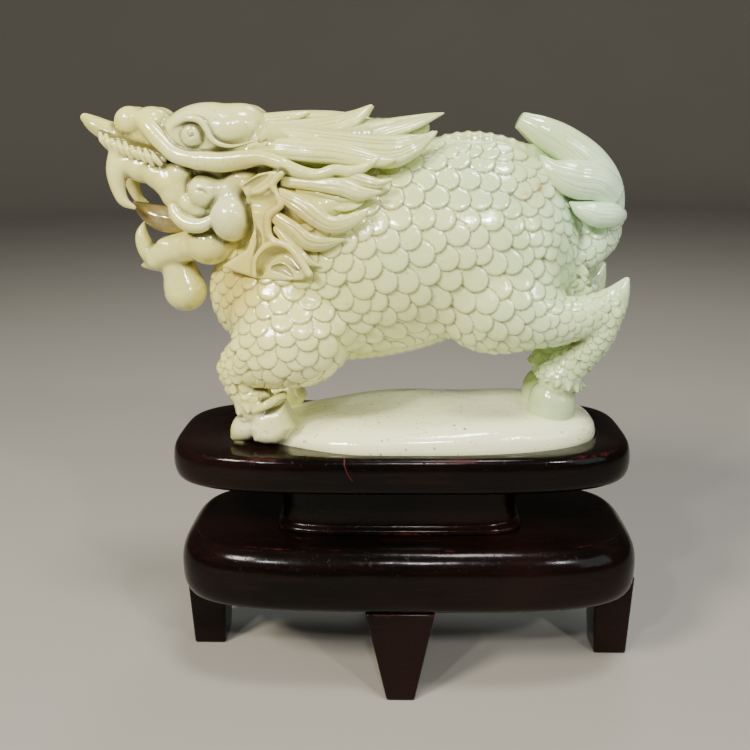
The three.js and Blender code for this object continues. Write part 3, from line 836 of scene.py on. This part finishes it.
def outline(middle_xy, half_xy, power, z, inset=0.0, taper=0.0):
    """A level ring, a superellipse pulled in by inset, and narrower towards the head by taper."""
    angle = np.arange(RING_POINTS) * 2 * math.pi / RING_POINTS
    c, s = np.cos(angle), np.sin(angle)
    x = middle_xy[0] + np.sign(c) * np.abs(c) ** (2 / power) * (half_xy[0] - inset)
    head_share = np.clip((middle_xy[0] - x - TAPER_START) / TAPER_LENGTH, 0, 1)
    narrow = 1 - taper * head_share**2 * (3 - 2 * head_share)
    y = middle_xy[1] + np.sign(s) * np.abs(s) ** (2 / power) * (half_xy[1] - inset) * narrow
    return np.column_stack([x, y, np.full(RING_POINTS, float(z))])


def mound_ring(z, inset=0.0):
    centre, half = (MOUND["shift"], 0), (MOUND["length"], MOUND["depth"])
    return outline(centre, half, MOUND["power"], z, inset, MOUND["taper"])


def sculpt_mound():
    """A low flat-topped rise that swells towards the tail, its surface a little uneven."""
    foot = TRAY_TOP - 2.7
    rings = [mound_ring(foot, 1.2), mound_ring(foot + 0.4, 0.5), mound_ring(TRAY_TOP - 0.6, 0.1)]
    for share in np.linspace(1, 0.02, 60) ** 0.6:
        ring = mound_ring(0)
        ring[:, :2] = (ring[:, :2] - (MOUND["shift"], 0)) * share + (MOUND["shift"], 0)
        x, y = ring[:, 0], ring[:, 1]
        swell = np.clip((x + 75) / 90, 0, 1)
        swell = swell**2 * (3 - 2 * swell) * 0.55 + 0.45 + 0.2 * np.clip((x - 20) / 45, 0, 1)
        ripple = 0.35 * np.sin(x / 9 + y / 14) + 0.25 * np.sin(x / 17 - y / 7 + 1)
        dome = max(1 - share**7, 0) ** 0.5
        ring[:, 2] = MOUND["edge"] + dome * (swell * MOUND["rise"] + ripple)
        rings.append(ring)
    points, quads = tube_faces(np.array(rings))
    return points, quads, np.zeros(len(points))


def loft(name, rings, worn):
    """A wooden piece from rings, with how worn each ring's lacquer is."""
    points, quads = tube_faces(np.array(rings))
    piece = new_object(name, points, quads, "stand", [name.replace("_turned", "")])
    paint(piece, "worn", np.repeat(worn, RING_POINTS))
    return piece


def paint(piece, name, values):
    """A number at each point, for the materials."""
    layer = piece.data.attributes.new(name, "FLOAT", "POINT")
    layer.data.foreach_set("value", np.asarray(values, np.float32))


def board(node, power, levels):
    """A board node's finer copy from levels of height above its foot, inset and wear."""
    low, high = extent(node)
    centre, half = (low + high)[:2] / 2, (high - low)[:2] / 2
    rings = [outline(centre, half, power, low[2] + rise, inset) for rise, inset, _ in levels]
    return rings, [wear for *_, wear in levels], centre, half, high[2]


def make_lower_slab():
    levels = [(0, 3.6, 0), (0.3, 3.0, 0), (1.2, 1.8, 0), (3, 0.9, 0), (5.5, 0.25, 0), (8, 0, 0), (14, 0, 0)]
    levels += [(17, 0.3, 0), (20, 1, 0), (22.2, 2, 0), (24.2, 3.4, 0), (25.7, 5, 0.1), (26.6, 6.3, 0.6)]
    levels += [(26.9, 7.0, 1), (27, 7.6, 0.5), (27, 8.4, 0), (27, 20, 0), (27, 36, 0)]
    rings, worn, *_ = board("lower_slab", 3.8, levels)
    return loft("lower_slab_turned", rings, worn)


def make_waist():
    levels = [(0, 1.2, 1), (0, 0.6, 1), (0.4, 0, 1), (1.6, 0, 0.8), (2.4, 0.6, 0.3), (3.2, 1.9, 0), (4.4, 2.4, 0)]
    levels += [(12, 2.6, 0), (20, 2.4, 0), (23, 1.8, 0), (25, 0.6, 0), (25.7, 0, 0), (25.7, 6, 0)]
    rings, worn, *_ = board("waist_block", 5, levels)
    return loft("waist_block_turned", rings, worn)


def make_tray():
    levels = [(0, 12, 0), (0, 4, 0), (0.2, 3, 0), (1, 1.8, 0), (2.2, 0.9, 0), (4, 0.35, 0), (6.5, 0, 0)]
    levels += [(9.5, 0.05, 0), (12, 0.35, 0), (13.6, 0.8, 0.2), (14.7, 1.4, 0.8), (15.4, 2.1, 1)]
    levels += [(15.7, 2.8, 0.5), (15.8, 3.8, 0), (15.8, 5, 0)]
    rings, worn, centre, half, top = board("tray", 3.7, levels)
    for z, inset, wear in ((top, -1.1, 0), (top - 0.15, -0.75, 0.2), (top - 0.6, -0.6, 0), (top - 3, -0.6, 0)):
        rings.append(mound_ring(z, inset))
        worn.append(wear)
    rings.append(mound_ring(top - 3, 12))
    return loft("tray_turned", rings, worn + [0])


FOOT_HALF_WIDTHS = (6.1, 7.5)  # of the front and back legs, and of the side legs


def make_leg(node):
    """A leg that narrows to its foot, its broad face flat and its edges just eased."""
    low, high = extent(node)
    centre, half = (low + high)[:2] / 2, (high - low)[:2] / 2
    broad = 0 if half[0] > half[1] else 1  # the axis across the broad face
    sign = np.sign(centre[1 - broad])
    rings, worn = [], []
    for share, inset, wear in (
        (0, 0.9, 0), (0, 0.5, 0), (0.01, 0.15, 0), (0.03, 0, 0), (0.25, 0, 0), (0.5, 0, 0), (0.75, 0, 0),
        (0.9, 0, 0.1), (0.955, 0, 0.8), (0.985, 0, 1), (0.996, 0.2, 1), (1, 0.7, 0.3), (1, 3, 0),
    ):
        size = half.copy()
        foot = FOOT_HALF_WIDTHS[broad]
        size[broad] = foot + (half[broad] - foot) * share
        size[1 - broad] = half[1 - broad] - 1.5 * (1 - share)
        middle_xy = centre.copy()
        middle_xy[1 - broad] += sign * 1.5 * (1 - share)  # the outer face stays upright
        z = low[2] + (high[2] - low[2]) * share
        rings.append(outline(middle_xy, size, 16, z, inset))
        worn.append(wear)
    return loft(node + "_turned", rings, worn)


# ---- Materials ----
class Shader:
    """A node material built a node at a time."""

    def __init__(self, name):
        self.material = bpy.data.materials.new(name)
        self.material.use_nodes = True
        self.tree = self.material.node_tree
        self.base = self.tree.nodes["Principled BSDF"]

    def add(self, kind, inputs=(), **settings):
        node = self.tree.nodes.new(kind)
        for key, value in settings.items():
            setattr(node, key, value)
        for key, value in dict(inputs).items():
            self.feed(node.inputs[key], value)
        return node.outputs[0]

    def feed(self, socket, value):
        if isinstance(value, bpy.types.NodeSocket):
            self.tree.links.new(value, socket)
        else:
            socket.default_value = value

    def set(self, **values):
        for key, value in values.items():
            self.feed(self.base.inputs[key.replace("_", " ")], value)

    def place(self):
        return self.add("ShaderNodeTexCoord").node.outputs["Object"]

    def noise(self, scale, detail=2.0, roughness=0.5, vector=None):
        inputs = {"Vector": vector or self.place(), "Scale": scale, "Detail": detail, "Roughness": roughness}
        return self.add("ShaderNodeTexNoise", inputs)

    def attribute(self, name):
        return self.add("ShaderNodeAttribute", attribute_name=name).node.outputs["Fac"]

    def ramp(self, value, low, high, start=0.0, end=1.0):
        """The value stretched so that low gives start and high gives end."""
        inputs = {"Value": value, "From Min": low, "From Max": high, "To Min": start, "To Max": end}
        return self.add("ShaderNodeMapRange", inputs)

    def math(self, operation, a, b=0.0):
        return self.add("ShaderNodeMath", {0: a, 1: b}, operation=operation)

    def mix(self, share, first, second, blend="MIX"):
        node = self.tree.nodes.new("ShaderNodeMix")
        node.data_type = "RGBA"
        node.blend_type = blend
        self.feed(node.inputs[0], share)
        self.feed(node.inputs[6], first)
        self.feed(node.inputs[7], second)
        return node.outputs[2]

    def bump(self, height, strength, distance):
        inputs = {"Height": height, "Strength": strength, "Distance": distance}
        self.set(Normal=self.add("ShaderNodeBump", inputs))


def rgb(red, green, blue):
    """A colour from its everyday 0-255 values."""
    curve = lambda v: v / 12.92 if v <= 0.04045 else ((v + 0.055) / 1.055) ** 2.4
    return (*(curve(v / 255) for v in (red, green, blue)), 1.0)


TINTS = [  # middle, radius, strength and colour of places where the stone is mixed towards another colour: brown stains by the crest, painted shade on the ear fin, and patches of changed tone elsewhere
    ((46.2, -8, 226.3), 3.4, 0.7, (196, 152, 92)),
    ((51.2, -17, 214.7), 2.6, 0.7, (196, 152, 92)),
    ((45.2, -20, 211.8), 2.8, 0.7, (196, 152, 92)),
    # painted shade: the ear fin made darker and yellower, as it faces down out of the light
    ((-46, -26, 203), 26, 0.75, (208, 190, 98)),
    ((-66, -18, 178), 20, 0.7, (200, 178, 84)),
    ((-62, -20, 226), 15, 0.6, (196, 184, 96)),
    ((-50, -22, 152), 26, 0.5, (246, 240, 180)),
    ((-60, -20, 118), 16, 0.8, (252, 250, 204)),
    ((61, -12, 127), 13, 0.6, (176, 186, 136)),
    ((-74, -20, 207), 16, 0.7, (222, 230, 178)),
    ((-80, -18, 238), 22, 0.5, (222, 230, 176)),
    ((82, -12, 206), 34, 0.7, (214, 242, 212)),
]


def jade(name, warm, cool, crease_shade, flecks, clear=0.3):
    """Glossy, cloudy stone that lets a little light in; flecks is how speckled it is."""
    s = Shader(name)
    x, y, z = (s.add("ShaderNodeSeparateXYZ", {0: s.place()}).node.outputs[k] for k in range(3))
    toward_tail = s.ramp(s.math("ADD", x, s.ramp(s.noise(26), 0, 1, -0.05, 0.05)), -0.05, 0.07)
    colour = s.mix(toward_tail, rgb(*warm), rgb(*cool))
    cloud = s.ramp(s.noise(48, 3, 0.6), 0.42, 0.7)
    colour = s.mix(s.math("MULTIPLY", cloud, 0.35), colour, rgb(238, 238, 184))
    stain = s.ramp(s.noise(31, 4, 0.65, s.add("ShaderNodeVectorMath", {0: s.place(), 1: (0.3, 0.7, 0.1)})), 0.58, 0.75)
    colour = s.mix(s.math("MULTIPLY", stain, 0.45), colour, rgb(208, 192, 108))
    for spot, radius, strength, tint in TINTS:
        gap = s.add("ShaderNodeVectorMath", {0: s.place(), 1: to_metres(spot)}, operation="DISTANCE").node.outputs[1]
        colour = s.mix(s.ramp(gap, radius * MM * 0.3, radius * MM, strength, 0), colour, rgb(*tint))
    # painted shade: the grooves and hollow places are darkened towards a shade colour
    colour = s.mix(s.math("MULTIPLY", s.attribute("groove_shade"), 0.8), colour, rgb(*crease_shade))
    for scale, size, tone, gate in ((260, 0.11, (120, 100, 80), 0.72), (420, 0.14, (150, 145, 135), 0.66)):
        cell = s.add("ShaderNodeTexVoronoi", {"Vector": s.place(), "Scale": scale})
        chance = s.add("ShaderNodeSeparateXYZ", {0: cell.node.outputs["Color"]})
        spot = s.math("MULTIPLY", s.ramp(cell, size, size + 0.12, 1, 0), s.math("GREATER_THAN", chance, gate))
        patch = s.ramp(s.noise(20 + scale / 40), 0.4, 0.62)
        colour = s.mix(s.math("MULTIPLY", s.math("MULTIPLY", spot, patch), flecks), colour, rgb(*tone))
    s.set(Base_Color=colour, Roughness=s.ramp(s.noise(90, 3), 0.3, 0.7, 0.08, 0.18))
    s.set(IOR=1.6, Subsurface_Weight=clear, Subsurface_Radius=(1.0, 0.95, 0.75), Subsurface_Scale=0.0012)
    s.set(Coat_Weight=0.65, Coat_Roughness=0.04)
    unevenness = s.math("ADD", s.noise(170, 2), s.math("MULTIPLY", s.noise(400, 3, 0.55), 0.5))
    s.bump(unevenness, 0.3, 0.0009)
    return s.material


def lacquer(name, scratched=False):
    """Near-black lacquer with a red-brown glow, rubbed through to red where it is worn."""
    s = Shader(name)
    glow = s.ramp(s.noise(14, 3), 0.4, 0.72)
    colour = s.mix(glow, rgb(8, 6, 5), rgb(28, 13, 10))
    streaks = s.add("ShaderNodeMapping", {"Vector": s.place(), "Scale": (0.25, 1.6, 4.0)})
    grain = s.ramp(s.noise(150, 4, 0.7, streaks), 0.5, 0.75)
    colour = s.mix(s.math("MULTIPLY", grain, 0.25), colour, rgb(46, 20, 17))
    rub = s.math("ADD", s.attribute("worn"), s.ramp(s.noise(70, 4, 0.7), 0.35, 0.75, -1.1, 0.0))
    rub = s.ramp(rub, 0.3, 0.9)
    if scratched:
        rub = s.math("MAXIMUM", rub, scratch(s))
    colour = s.mix(s.math("MULTIPLY", rub, 0.5), colour, rgb(100, 34, 34))
    dust = s.ramp(s.noise(700, 2), 0.62, 0.75)
    roughness = s.ramp(s.noise(40, 3), 0.3, 0.7, 0.1, 0.2)
    roughness = s.math("ADD", roughness, s.math("MULTIPLY", s.math("MAXIMUM", rub, dust), 0.3))
    s.set(Base_Color=colour, Roughness=roughness, IOR=1.22)
    s.bump(s.math("ADD", s.noise(45, 2), s.math("MULTIPLY", s.noise(320, 3), 0.12)), 0.25, 0.0012)
    return s.material


SCRATCH = {"x": -25.0, "drop": 8.5, "bend": 3.5, "half_width": 0.35, "reach": 37.0}


def scratch(s):
    """A thin bent scratch down the tray's front face from its top edge."""
    x, y, z = (s.add("ShaderNodeSeparateXYZ", {0: s.place()}).node.outputs[k] for k in range(3))
    top = TRAY_TOP * MM
    down = s.math("DIVIDE", s.math("SUBTRACT", top, z), SCRATCH["drop"] * MM)
    bend = s.math("MULTIPLY", s.math("POWER", s.math("MAXIMUM", down, 0.0), 2.2), SCRATCH["bend"] * MM)
    centre = s.math("ADD", bend, ORIGIN[0] + SCRATCH["x"] * MM)
    wobble = s.ramp(s.noise(260, 2), 0.3, 0.7, -0.0004, 0.0004)
    gap = s.math("ABSOLUTE", s.math("SUBTRACT", s.math("ADD", x, wobble), centre))
    line = s.ramp(gap, SCRATCH["half_width"] * MM * 0.4, SCRATCH["half_width"] * MM, 1, 0)
    inside = s.math("MULTIPLY", s.math("LESS_THAN", down, 1.0), s.math("LESS_THAN", y, ORIGIN[1] - SCRATCH["reach"] * MM))
    return s.math("MULTIPLY", line, inside)


def bare_wood():
    s = Shader("bare_wood")
    rings = s.add("ShaderNodeMapping", {"Vector": s.place(), "Scale": (6.0, 6.0, 0.6)})
    grain = s.ramp(s.noise(120, 4, 0.6, rings), 0.35, 0.7)
    s.set(Base_Color=s.mix(grain, rgb(196, 158, 108), rgb(160, 118, 74)), Roughness=0.65)
    s.bump(grain, 0.3, 0.0003)
    return s.material


def brushed_steel():
    s = Shader("screw_steel")
    tone = s.ramp(s.noise(300, 3), 0.3, 0.7)
    s.set(Base_Color=s.mix(tone, rgb(150, 152, 156), rgb(190, 190, 194)), Metallic=1.0)
    s.set(Roughness=s.ramp(s.noise(900, 2), 0.3, 0.7, 0.25, 0.42))
    s.bump(s.noise(800, 2), 0.15, 0.0001)
    return s.material


# ---- The whole object ----
JADE = jade("jade", (228, 222, 126), (202, 224, 166), (92, 84, 44), 0.3)
MOUND_JADE = jade("jade_mound", (254, 252, 194), (246, 252, 208), (160, 150, 96), 0.9)
TONGUE_JADE = jade("jade_tongue", (116, 94, 40), (116, 94, 40), (70, 52, 24), 0.3, 0.05)
LACQUER = lacquer("lacquer")
TRAY_LACQUER = lacquer("lacquer_scratched", scratched=True)
WOOD = bare_wood()
STEEL = brushed_steel()


def add_jade(name, shell, material=JADE):
    points, quads, groove_shade = shell
    piece = new_object(name, points, quads, "carving", ["jade_carving"])
    paint(piece, "groove_shade", groove_shade)
    piece.data.materials.append(material)


def shell_of(clay, scaly=False):
    """The clay's mesh, with its scales where it has them, and painted shade in its hollow places and its scale
    grooves.
    """
    points, quads = clay.mesh()
    # painted shade: the more the clay encloses a point, the darker its colour is painted
    hollow_shade = np.clip(clay.cavity(points, vertex_normals(points, quads)) * 2.4 - 0.25, 0, 1)
    if not scaly:
        return points, quads, hollow_shade
    points, groove_shade = raise_scales(points, quads)
    return points, quads, np.maximum(groove_shade, hollow_shade)


add_jade("beast_body", shell_of(sculpt_body(), scaly=True))
add_jade("beast_head", shell_of(sculpt_head()))
add_jade("tongue", shell_of(sculpt_tongue()), TONGUE_JADE)
add_jade("mane", hair(MANE, mane_outward, 0.65))
add_jade("mane_crown", lock(*CROWN, lambda point: (0, 0, 1)))
add_jade("tail", hair(TAIL, tail_outward, 0.28))
add_jade("mound", sculpt_mound(), MOUND_JADE)

for piece in (make_lower_slab(), make_waist(), *(make_leg("leg_" + side) for side in ("front", "right", "back", "left"))):
    piece.data.materials.append(LACQUER)
make_tray().data.materials.append(TRAY_LACQUER)

for node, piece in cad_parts.items():
    if "dowel" in node or "screw" in node:
        piece.data.materials.clear()
        piece.data.materials.append(WOOD if "dowel" in node else STEEL)

# ---- Floor, light and camera ----
FLOOR_REACH = 2.4  # metres to where the floor turns up into the backdrop
BACKDROP_HEIGHT = 2.2


def make_floor():
    """A round pale floor that sweeps up into a backdrop on every side."""
    profile = [(0.5, 0), (1.2, 0), (FLOOR_REACH, 0)]
    profile += [
        (FLOOR_REACH + 0.9 * math.sin(a), 0.9 - 0.9 * math.cos(a)) for a in np.linspace(0.15, math.pi / 2, 10)
    ]
    profile.append((FLOOR_REACH + 0.9, BACKDROP_HEIGHT))
    count = 96
    points = [
        (reach * math.cos(2 * math.pi * k / count), reach * math.sin(2 * math.pi * k / count), rise)
        for reach, rise in profile
        for k in range(count)
    ]
    faces = [
        (row + k, row + count + k, row + count + (k + 1) % count, row + (k + 1) % count)
        for row in range(0, (len(profile) - 1) * count, count)
        for k in range(count)
    ]
    mesh = bpy.data.meshes.new("floor")
    mesh.from_pydata(points, [], [tuple(range(count))] + faces)
    mesh.shade_smooth()
    floor = bpy.data.objects.new("floor", mesh)
    bpy.context.scene.collection.objects.link(floor)
    s = Shader("floor")
    s.set(Base_Color=s.mix(s.noise(3, 3), rgb(152, 147, 136), rgb(160, 155, 144)), Roughness=0.7)
    mesh.materials.append(s.material)


def add_light(name, place, power, size, colour):
    lamp = bpy.data.lights.new(name, "AREA")
    lamp.energy = power
    lamp.size = size
    lamp.color = colour
    piece = bpy.data.objects.new(name, lamp)
    piece.location = place
    piece.rotation_euler = (Vector((0, 0, 0.15)) - Vector(place)).to_track_quat("-Z", "Y").to_euler()
    bpy.context.scene.collection.objects.link(piece)


def add_lights():
    warm, cool, white = (1.0, 0.93, 0.8), (0.82, 0.92, 1.0), (1, 1, 1)
    add_light("key", (-0.7, -0.75, 0.95), 19, 0.22, warm)
    add_light("top", (0.15, -0.3, 1.15), 7, 0.2, white)
    add_light("fill", (0.95, -0.75, 0.6), 3.0, 0.6, cool)
    add_light("rim", (0.25, 0.6, 1.25), 3.5, 0.35, cool)
    for i, place in enumerate(((-0.4, -0.8, 0.75), (0.05, -0.85, 0.85), (0.5, -0.75, 0.7))):
        add_light(f"spark_{i}", place, 3.2, 0.05, white)
    world = bpy.data.worlds.new("studio")
    bpy.context.scene.world = world
    world.use_nodes = True
    background = world.node_tree.nodes["Background"]
    background.inputs["Color"].default_value = (0.75, 0.77, 0.8, 1)
    background.inputs["Strength"].default_value = 0.16


CAMERA = {
    "place": (-1.5, -342.3, 236.3),
    "turn": 2.02,  # degrees left of +Y
    "tip": -16.43,  # degrees above level
    "roll": -0.75,
    "lens": 39.62,
}


def add_camera():
    camera = bpy.data.cameras.new("camera")
    camera.sensor_width = 36
    camera.lens = CAMERA["lens"]
    camera.clip_start = 0.01
    piece = bpy.data.objects.new("camera", camera)
    bpy.context.scene.collection.objects.link(piece)
    turn, tip, roll = (math.radians(CAMERA[key]) for key in ("turn", "tip", "roll"))
    look = Matrix.Rotation(turn, 4, "Z") @ Matrix.Rotation(math.pi / 2 + tip, 4, "X")
    place = Matrix.Translation(Vector(to_metres(CAMERA["place"])))
    piece.matrix_world = place @ look @ Matrix.Rotation(roll, 4, "Z")
    bpy.context.scene.camera = piece


make_floor()
add_lights()
add_camera()
